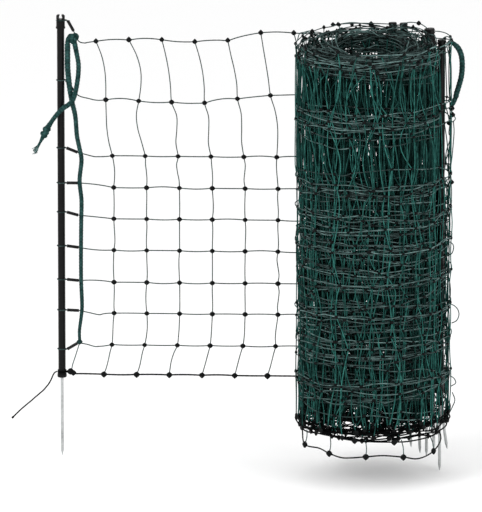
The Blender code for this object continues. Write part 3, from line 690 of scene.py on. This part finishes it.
# Strands that have sprung out of the roll, and the knots on them with their half sizes
SPRUNG_STRANDS = (
    ((1.186, -0.25, 0.280), (1.200, -0.25, 0.273), (1.210, -0.25, 0.261), (1.213, -0.25, 0.245),
     (1.206, -0.25, 0.228), (1.191, -0.25, 0.220)),
    ((1.186, -0.25, 0.055), (1.195, -0.25, 0.052), (1.202, -0.25, 0.044), (1.204, -0.25, 0.033),
     (1.190, -0.25, 0.024)),
    ((1.194, -0.25, 0.005), (1.202, -0.25, -0.018), (1.196, -0.25, -0.037), (1.187, -0.25, -0.056),
     (1.181, -0.25, -0.069)),
    ((1.170, -0.24, 0.471), (1.182, -0.24, 0.470), (1.193, -0.24, 0.463), (1.196, -0.24, 0.450),
     (1.190, -0.24, 0.433), (1.177, -0.24, 0.429)),
    ((1.172, -0.235, 1.076), (1.183, -0.235, 1.012), (1.186, -0.235, 0.918), (1.176, -0.235, 0.904)),
    ((1.178, -0.225, 1.072), (1.186, -0.225, 1.010), (1.187, -0.225, 0.916), (1.188, -0.225, 0.878)),
    ((1.188, -0.225, 0.878), (1.191, -0.225, 0.860), (1.200, -0.225, 0.848), (1.193, -0.225, 0.838),
     (1.181, -0.225, 0.835)),
    ((1.183, -0.235, 0.833), (1.180, -0.235, 0.803), (1.185, -0.235, 0.790), (1.173, -0.235, 0.749),
     (1.172, -0.235, 0.718), (1.180, -0.235, 0.688), (1.188, -0.235, 0.655)),
    ((1.194, -0.225, 0.838), (1.196, -0.225, 0.808), (1.194, -0.225, 0.774), (1.190, -0.225, 0.727),
     (1.186, -0.225, 0.690), (1.189, -0.225, 0.649)),
    ((1.189, -0.225, 0.649), (1.181, -0.225, 0.626), (1.176, -0.225, 0.599), (1.179, -0.225, 0.560),
     (1.173, -0.225, 0.529)),
    ((0.720, -0.30, 1.098), (0.727, -0.30, 1.120), (0.740, -0.30, 1.124), (0.755, -0.30, 1.128),
     (0.765, -0.30, 1.127), (0.774, -0.30, 1.120), (0.787, -0.31, 1.113), (0.802, -0.34, 1.104),
     (0.828, -0.40, 1.096), (0.852, -0.45, 1.095), (0.874, -0.48, 1.085)),
    ((0.825, -0.075, 1.110), (0.849, -0.075, 1.112), (0.888, -0.075, 1.117), (0.936, -0.075, 1.112),
     (0.974, -0.075, 1.107)),
    ((1.032, -0.12, 1.105), (1.041, -0.12, 1.118), (1.062, -0.12, 1.125), (1.090, -0.12, 1.122),
     (1.109, -0.12, 1.112), (1.121, -0.12, 1.100)),
    ((1.158, -0.232, 1.089), (1.163, -0.232, 1.096), (1.173, -0.232, 1.100), (1.181, -0.232, 1.096),
     (1.187, -0.232, 1.084), (1.180, -0.232, 1.078)),
)
STRAND_KNOTS = (
    ((1.180, -0.232, 1.080), 0.0080), ((1.188, -0.228, 0.879), 0.0100), ((1.191, -0.228, 0.859), 0.0090),
    ((1.181, -0.228, 0.834), 0.0090), ((1.189, -0.225, 0.651), 0.0085), ((1.176, -0.225, 0.600), 0.0070),
    ((0.765, -0.300, 1.127), 0.0075), ((1.090, -0.120, 1.122), 0.0080), ((0.849, -0.075, 1.110), 0.0065),
    ((0.888, -0.075, 1.110), 0.0065), ((0.946, -0.075, 1.112), 0.0090), ((0.830, -0.085, 1.112), 0.0075),
)
# The bottom cord's turns under the roll, the knots on them and how high the outer one's twines rise
OUTER_LOOP = (
    (0.736, -0.388, -0.080), (0.744, -0.401, -0.124), (0.787, -0.452, -0.125), (0.817, -0.475, -0.136),
    (0.852, -0.492, -0.145), (0.882, -0.502, -0.144), (0.927, -0.510, -0.139), (0.980, -0.507, -0.136),
    (1.041, -0.487, -0.145), (1.079, -0.465, -0.155), (1.109, -0.438, -0.153), (1.134, -0.408, -0.143),
    (1.151, -0.378, -0.128), (1.157, -0.365, -0.111), (1.152, -0.370, -0.090),
)
INNER_LOOP = (
    (0.800, -0.455, -0.080), (0.852, -0.488, -0.087), (0.893, -0.500, -0.091), (0.942, -0.503, -0.094),
    (1.013, -0.494, -0.097), (1.060, -0.472, -0.099), (1.117, -0.425, -0.097), (1.151, -0.378, -0.092),
)
OUTER_DROPS = ((1, 0.045), (3, 0.050), (6, 0.050), (8, 0.052), (11, 0.045))
INNER_LOOP_KNOTS = (2, 4)


def ease(share):
    """From 0 to 1 with a level start and end."""
    return share * share * (3 - 2 * share)


def roll_radius(turns, outside):
    """The wound net's radius; so many of its turns pass outside the rolled posts, the others inside them."""
    angle = START_ANGLE - turns * TAU
    off = (angle - BULGE_ANGLE + math.pi) % TAU - math.pi
    share = np.clip(off / (START_ANGLE - BULGE_ANGLE), -1, 1)
    hump = np.cos(share * math.pi / 2) ** 2
    outer = ROLL_R + BULGE * hump - OUTER_PITCH * turns * (1 - 0.6 * hump)
    beside = np.degrees((angle + math.pi) % TAU - math.pi)
    dent = ease(np.clip(np.minimum(beside - DENT_FROM, DENT_TO - beside) / DENT_SLOPE, 0, 1))
    inner = np.interp(turns, INNER_TURNS, INNER_RADII)
    inner = inner - np.interp(turns, (3, 20), (DENT_DEPTH, 0)) * dent
    mix = np.clip((turns - outside) / POST_CROSSING, 0, 1)
    return outer * (1 - mix) + inner * mix


TABLE_TURNS = np.linspace(0, TURNS, 8001)
TABLE_RADIUS = roll_radius(TABLE_TURNS, UPPER_OUTSIDE)
TABLE_STEPS = TAU * np.diff(TABLE_TURNS) * (TABLE_RADIUS[1:] + TABLE_RADIUS[:-1]) / 2
TABLE_LENGTH = np.concatenate(([0], np.cumsum(TABLE_STEPS)))


def rough_wave(travel, step, size):
    """A smooth random line along the wound net, as rough as size, that turns about every step."""
    stops = np.arange(0, TABLE_LENGTH[-1] + 2 * step, step)
    return np.interp(travel, stops, rng.normal(0, size, len(stops)))


def in_roll(places):
    """Points of the wound net from (net wound before them, height, distance out from its turn)."""
    turns = np.interp(places[:, 0], TABLE_LENGTH, TABLE_TURNS)
    angle = START_ANGLE - turns * TAU
    low = ease(np.clip((WAIST_TOP - places[:, 1]) / WAIST_SLOPE, 0, 1))
    upper, lower = roll_radius(turns, UPPER_OUTSIDE), roll_radius(turns, LOWER_OUTSIDE)
    radius = upper + (lower - upper) * low + places[:, 2]
    x = ROLL_CENTRE[0] + radius * np.cos(angle)
    y = ROLL_CENTRE[1] + radius * np.sin(angle)
    return np.stack((x, y, places[:, 1]), -1)


def roll_height(row, travel, common):
    """A row's height in the roll, where each turn sits a little higher or lower than the last."""
    turns = np.interp(travel, TABLE_LENGTH, TABLE_TURNS)
    settled = ROW_SLIDE[row] + ROW_SPREAD[row] * common + rough_wave(travel, WAVE_STEP, ROW_WAVE[row])
    if row == 0:
        settled = settled + TOP_TILT * np.sin(START_ANGLE - turns * TAU)
    share = np.clip(turns - 0.8, 0, 1)
    fresh = OUTER_DROP[row] * np.clip(turns * 3, 0, 1)
    return row_height(row, PANEL_LENGTH) + fresh * (1 - share) + settled * share


def roll_knot(gathered, at, half, tail, detailed):
    centre = in_roll(at[None])[0]
    forward = unit(np.array((*(centre[:2] - ROLL_CENTRE), 0.0)))
    across = np.array((-forward[1], forward[0], 0.0))
    sides, rings = (8, 3) if detailed else (4, 1)
    tone = rng.uniform(0.7, 1.4)
    gathered.knot(centre, across, -forward, half, 0.0046, tail, sides=sides, rings=rings, tone=tone)


def roll_columns():
    """How much net is wound before each upright, and which uprights are in the detailed outer turns."""
    first = FIRST_COLUMN + COLUMNS * COLUMN_PITCH - PANEL_LENGTH
    outer_end = float(np.interp(DETAILED_TURNS, TABLE_TURNS, TABLE_LENGTH))
    outer = np.arange(first + 0.02, outer_end, COLUMN_PITCH)
    inner = np.arange(outer[-1] + INNER_PITCH, TABLE_LENGTH[-1] - 0.05, INNER_PITCH)
    detailed = np.append(np.full(len(outer), True), np.full(len(inner), False))
    return np.append(outer, inner) + rng.normal(0, 0.012, len(detailed)), detailed


def add_roll():
    """The wound net, its outer turns in full and its inner ones plainer."""
    columns, detailed = roll_columns()
    count = len(columns)
    common = rough_wave(columns, WAVE_STEP, 0.028) - 0.027
    shear = rough_wave(columns, WAVE_STEP / 2, 0.05)
    places = np.empty((ROWS, count, 3))
    knots = Shape()
    bottom_knots = Shape()
    for row in range(ROWS):
        bottom = row == BOTTOM_ROW
        travel = columns + shear * (ROW_Z[row] - SHEAR_HEIGHT) + rng.normal(0, ROW_LEAN[row], count)
        travel = np.maximum(travel, FIRST_IN_ROLL)
        height = roll_height(row, travel, common) + rng.normal(0, ROW_SCATTER[row], count)
        if bottom:
            height = np.where(detailed, height, height + rng.uniform(0.005, 0.045, count))
        height = np.clip(height, LOWEST_ROW, HIGHEST_ROW)
        places[row] = np.stack((travel, height, rng.normal(0, 0.0012, count)), -1)
        gathered = bottom_knots if bottom else knots
        for column in range(count):
            half = rng.uniform(0.0078, 0.0100) if bottom else rng.uniform(0.0050, 0.0074)
            roll_knot(gathered, places[row, column], half, ROLL_KNOT_TAIL.get(row, 0.0), detailed[column])
    knots.make("roll_knots", KNOT, "roll", "rolled_netting", "net_roll")
    bottom_knots.make("roll_bottom_knots", KNOT, "roll", "bottom_cord", "net_roll")
    add_roll_rows(places, detailed)
    add_roll_uprights(places, detailed)


def add_roll_rows(places, detailed):
    """The rows' twine in the roll, in short bundles with a tone for each."""
    shapes = {"upper": Shape(), "lower": Shape(), "bottom": Shape()}
    for row in range(ROWS):
        gathered = shapes["bottom" if row == BOTTOM_ROW else "upper" if row < 4 else "lower"]
        stops = np.vstack(((0.0, row_height(row, PANEL_LENGTH), 0.0), places[row]))
        outer_radius = BOTTOM_CORD_R if row == BOTTOM_ROW else CORD_R
        belly = rng.normal(0, 0.004, len(stops))
        aside = rng.normal(0, 0.0014, len(stops))
        for start in range(0, len(stops) - 1, BUNDLE):
            last = min(start + BUNDLE, len(stops) - 1)
            fine = bool(detailed[min(start, len(detailed) - 1)])
            steps = 6 if fine else 4
            t = np.arange(steps)[:, None] / steps
            swell = np.sin(math.pi * t)
            line = [stops[k] + (stops[k + 1] - stops[k]) * t + swell * (0, belly[k], aside[k])
                    for k in range(start, last)]
            line = in_roll(np.vstack((*line, stops[last][None])))
            # The inner turns' twine is darkened by painted shade, standing in for the shade deep inside the
            # roll
            tone = rng.uniform(0.3, 1.6) * (1.0 if fine else INNER_PAINTED_SHADE)
            gathered.tube(line, outer_radius if fine else INNER_CORD_R, sides=5 if fine else 3, tone=tone)
    shapes["upper"].make("roll_rows_upper", TWINE, "roll", "rolled_netting", "net_roll")
    shapes["lower"].make("roll_rows_lower", TWINE, "roll", "rolled_netting", "net_roll")
    shapes["bottom"].make("roll_bottom_row", BLACK_CORD, "roll", "bottom_cord", "net_roll")


def add_roll_uprights(places, detailed):
    """The twines that run down the roll, most slack between the three top rows."""
    halves = (Shape(), Shape())
    for column in range(places.shape[1]):
        fine = bool(detailed[column])
        way = []
        for row in range(BOTTOM_ROW):
            a, b = places[row, column], places[row + 1, column]
            steps = (9 if row < 2 else 6) if fine else 4
            t = np.arange(steps)[:, None] / steps
            bow = rng.normal(0, 0.020 if row < 2 else 0.007)
            way.append(a + (b - a) * t + np.sin(math.pi * t) * (bow, 0, rng.normal(0, 0.0022)))
        points = in_roll(np.vstack((*way, places[BOTTOM_ROW, column][None])))
        outward = points - (*ROLL_CENTRE, 0.0)
        outward[:, 2] = 0
        # The inner turns' twine is darkened by painted shade, standing in for the shade deep inside the roll
        tone = rng.uniform(0.3, 1.7) * (1.0 if fine else INNER_PAINTED_SHADE)
        radius = CORD_R if fine else INNER_CORD_R
        halves[column % 2].tube(points, radius, up=outward, sides=5 if fine else 3, tone=tone)
    halves[0].make("roll_uprights_even", TEAL, "roll", "rolled_netting", "net_roll")
    halves[1].make("roll_uprights_odd", TEAL, "roll", "rolled_netting", "net_roll")


def add_sprung_strands():
    """Strands that have sprung out of the roll: over its rim, down its right side and across its mouth."""
    sprung = Shape()
    for route in SPRUNG_STRANDS:
        sprung.tube(smooth_line(route, 0.004), UPRIGHT_R, up=(0.02, 1, 0.01), sides=7, tone=0.8)
    share = np.linspace(0, 1, 7)
    for _ in range(MOUTH_STRANDS):
        start = rng.uniform(0, TAU)
        swing = rng.uniform(math.radians(70), math.radians(150)) * rng.choice((-1, 1))
        angles = start + swing * share
        reach = np.linspace(*rng.uniform(*MOUTH_REACH, 2), 7) * (1 - 0.16 * np.sin(math.pi * share))
        heights = rng.uniform(*MOUTH_HEIGHT) + 0.018 * np.sin(angles) - rng.uniform(0, 0.04) * share
        heights = heights + rng.normal(0, 0.004, 7)
        x, y = ROLL_CENTRE[0] + reach * np.cos(angles), ROLL_CENTRE[1] + reach * np.sin(angles)
        line = smooth_line(np.stack((x, y, heights), -1), 0.006)
        sprung.tube(line, CORD_R, sides=6, tone=rng.uniform(0.4, 1.6))
    sprung.make("roll_sprung_strands", TWINE, "roll", "rolled_netting", "net_roll")
    beads = Shape()
    for place, half in STRAND_KNOTS:
        beads.knot(np.array(place), (1, 0, 0), BACK, half, 0.0055, 0.5, sides=12, rings=4)
    beads.make("sprung_strand_knots", KNOT, "roll", "rolled_netting", "net_roll")


def add_bottom_loops():
    """The bottom cord's slack turns under the roll, with their knots and the twines that hold them."""
    hanging = Shape()
    for route in (OUTER_LOOP, INNER_LOOP):
        hanging.tube(smooth_line(route, 0.004), 0.0022, sides=8, twist=LOOP_TWIST)
    hanging.make("roll_bottom_loops", BLACK_CORD, "roll", "bottom_cord", "net_roll")
    drops = Shape()
    knots = Shape()
    for index, rise in OUTER_DROPS:
        foot = np.array(OUTER_LOOP[index])
        inward = unit(np.array((*(ROLL_CENTRE - foot[:2]), 0.0)))
        top = foot + inward * 0.010 + np.array((-0.002, 0, rise))
        drop = smooth_line((foot, (foot + top) / 2 + np.array((0.003, 0, 0)), top), 0.005)
        drops.tube(drop, UPRIGHT_R, up=BACK, sides=7, tone=0.8)
        knots.knot(foot, unit(np.cross(UP, inward)), inward, 0.0108, 0.0070, -0.35, sides=16, rings=5)
    for index in INNER_LOOP_KNOTS:
        place = np.array(INNER_LOOP[index])
        inward = unit(np.array((*(ROLL_CENTRE - place[:2]), 0.0)))
        knots.knot(place, unit(np.cross(UP, inward)), inward, 0.0105, 0.0070, -0.35, sides=16, rings=5)
    drops.make("roll_bottom_drops", TWINE, "roll", "rolled_netting", "net_roll")
    knots.make("roll_bottom_loop_knots", KNOT, "roll", "bottom_cord", "net_roll")


def finish_cad_nodes():
    """Better materials for the CAD nodes that stay."""
    for name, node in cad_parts.items():
        if name.endswith("_spike"):
            chosen = STEEL
        elif "post" in name or "sleeve" in name or name == "foot_clamp":
            chosen = PLASTIC
        else:
            continue
        for place in node.material_slots:
            place.material = chosen


add_camera()
add_world()
add_lamp("key", (-2.2, -3.6, 3.4), (0.7, -0.2, 0.5), 110)
add_lamp("fill", (3.4, -2.6, 1.6), (0.8, -0.2, 0.5), 40)
add_floor()
add_rope_tail()
add_bottom_tail()
add_side_loop()
add_edge_rope()
add_rope_knot()
add_panel_rows()
add_panel_uprights()
add_bottom_clamp()
add_edge_twine()
add_roll()
add_sprung_strands()
add_bottom_loops()
finish_cad_nodes()
